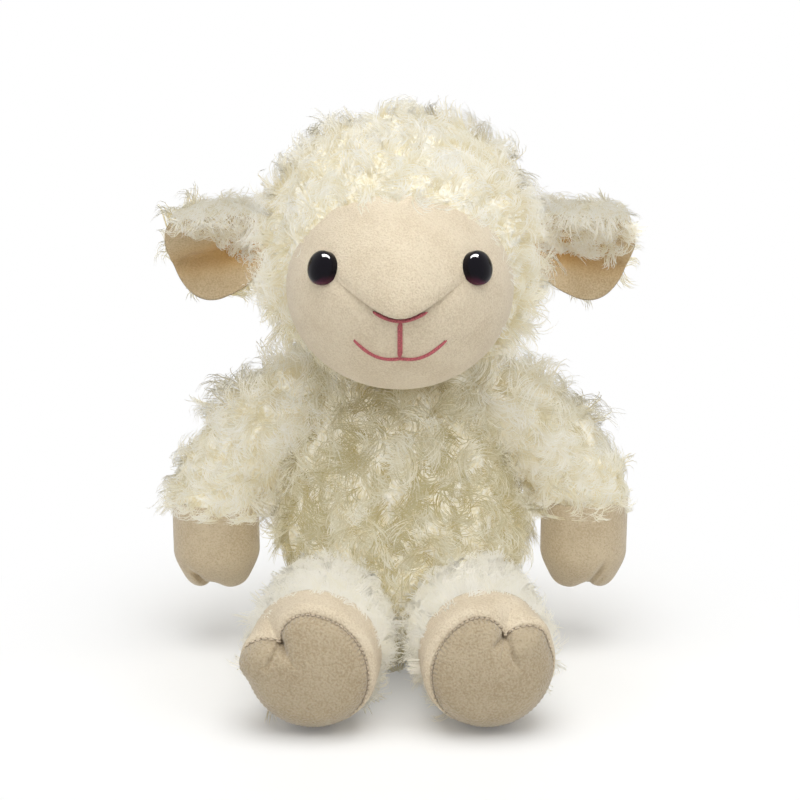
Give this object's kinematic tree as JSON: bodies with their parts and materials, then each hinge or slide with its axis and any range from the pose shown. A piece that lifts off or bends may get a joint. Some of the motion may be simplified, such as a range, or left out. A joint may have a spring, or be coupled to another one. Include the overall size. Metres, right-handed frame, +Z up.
{
  "type": "plush lamb",
  "caption": "Seated plush lamb with curly wool pile, short-pile face, ear linings, cloven hooves and round soles, sewn limbs, head, ears and tail that move, and plastic eyes on locked stems.",
  "frame": {"origin": "on the floor, under the middle of the toy's outline", "axes": "+Z up, the lamb faces -Y, its left side is +X"},
  "size_m": [0.225, 0.188, 0.2593],
  "materials": {
    "wool": "long curly cream pile in soft locks, matte",
    "leg_wool": "shorter, straighter cream pile, matte",
    "minky": "short beige plush nap with a faint sheen",
    "stuffing": "white polyester fibre fill",
    "pellet_bag": "plain woven bag of plastic pellets",
    "thread": "rose embroidery thread, satin",
    "eye": "polished black",
    "washer": "moulded white"
  },
  "bodies": {
    "torso": {"torso_cover": "wool", "torso_stuffing": "stuffing", "seat_pellet_bag": "pellet_bag"},
    "head": {"head_cover": "wool", "head_stuffing": "stuffing", "face_upper": "minky", "face_lower": "minky", "nose_stitch": "thread", "mouth_stitch": "thread", "eye_left": "eye", "eye_right": "eye", "eye_washer_left": "washer", "eye_washer_right": "washer"},
    "ear_left": {"ear_wool_left": "wool", "ear_lining_left": "minky"},
    "ear_right": {"ear_wool_right": "wool", "ear_lining_right": "minky"},
    "arm_left": {"arm_wool_left": "wool", "arm_hoof_left": "minky", "arm_stuffing_left": "stuffing"},
    "arm_right": {"arm_wool_right": "wool", "arm_hoof_right": "minky", "arm_stuffing_right": "stuffing"},
    "leg_left": {"leg_wool_left": "leg_wool", "foot_band_left": "minky", "foot_sole_left": "minky", "leg_stuffing_left": "stuffing"},
    "leg_right": {"leg_wool_right": "leg_wool", "foot_band_right": "minky", "foot_sole_right": "minky", "leg_stuffing_right": "stuffing"},
    "tail": {"tail": "wool"}
  },
  "joints": [
    {"name": "neck_turn", "type": "hinge", "parent": "torso", "child": "head", "pos_m": [0, 0.01973, 0.1343], "axis": [0, 0, 1], "range_deg": [-35, 35], "stiffness_Nm_per_rad": 0.06},
    {"name": "ear_left_flop", "type": "hinge", "parent": "head", "child": "ear_left", "pos_m": [0.0652, 0.01973, 0.2053], "axis": [0, -1, 0], "range_deg": [-10, 40], "stiffness_Nm_per_rad": 0.02},
    {"name": "ear_right_flop", "type": "hinge", "parent": "head", "child": "ear_right", "pos_m": [-0.0652, 0.01973, 0.2053], "axis": [0, 1, 0], "range_deg": [-10, 40], "stiffness_Nm_per_rad": 0.02},
    {"name": "arm_left_swing", "type": "hinge", "parent": "torso", "child": "arm_left", "pos_m": [0.04706, 0.01973, 0.117], "axis": [-1, 0, 0], "range_deg": [-30, 55], "stiffness_Nm_per_rad": 0.03},
    {"name": "arm_right_swing", "type": "hinge", "parent": "torso", "child": "arm_right", "pos_m": [-0.04706, 0.01973, 0.117], "axis": [-1, 0, 0], "range_deg": [-30, 55], "stiffness_Nm_per_rad": 0.03},
    {"name": "leg_left_swing", "type": "hinge", "parent": "torso", "child": "leg_left", "pos_m": [0.032, -0.02327, 0.03], "axis": [-1, 0, 0], "range_deg": [-45, 20], "stiffness_Nm_per_rad": 0.1},
    {"name": "leg_right_swing", "type": "hinge", "parent": "torso", "child": "leg_right", "pos_m": [-0.032, -0.02327, 0.03], "axis": [-1, 0, 0], "range_deg": [-45, 20], "stiffness_Nm_per_rad": 0.1},
    {"name": "tail_flop", "type": "hinge", "parent": "torso", "child": "tail", "pos_m": [0, 0.0777, 0.05], "axis": [1, 0, 0], "range_deg": [-15, 25], "stiffness_Nm_per_rad": 0.008}
  ]
}
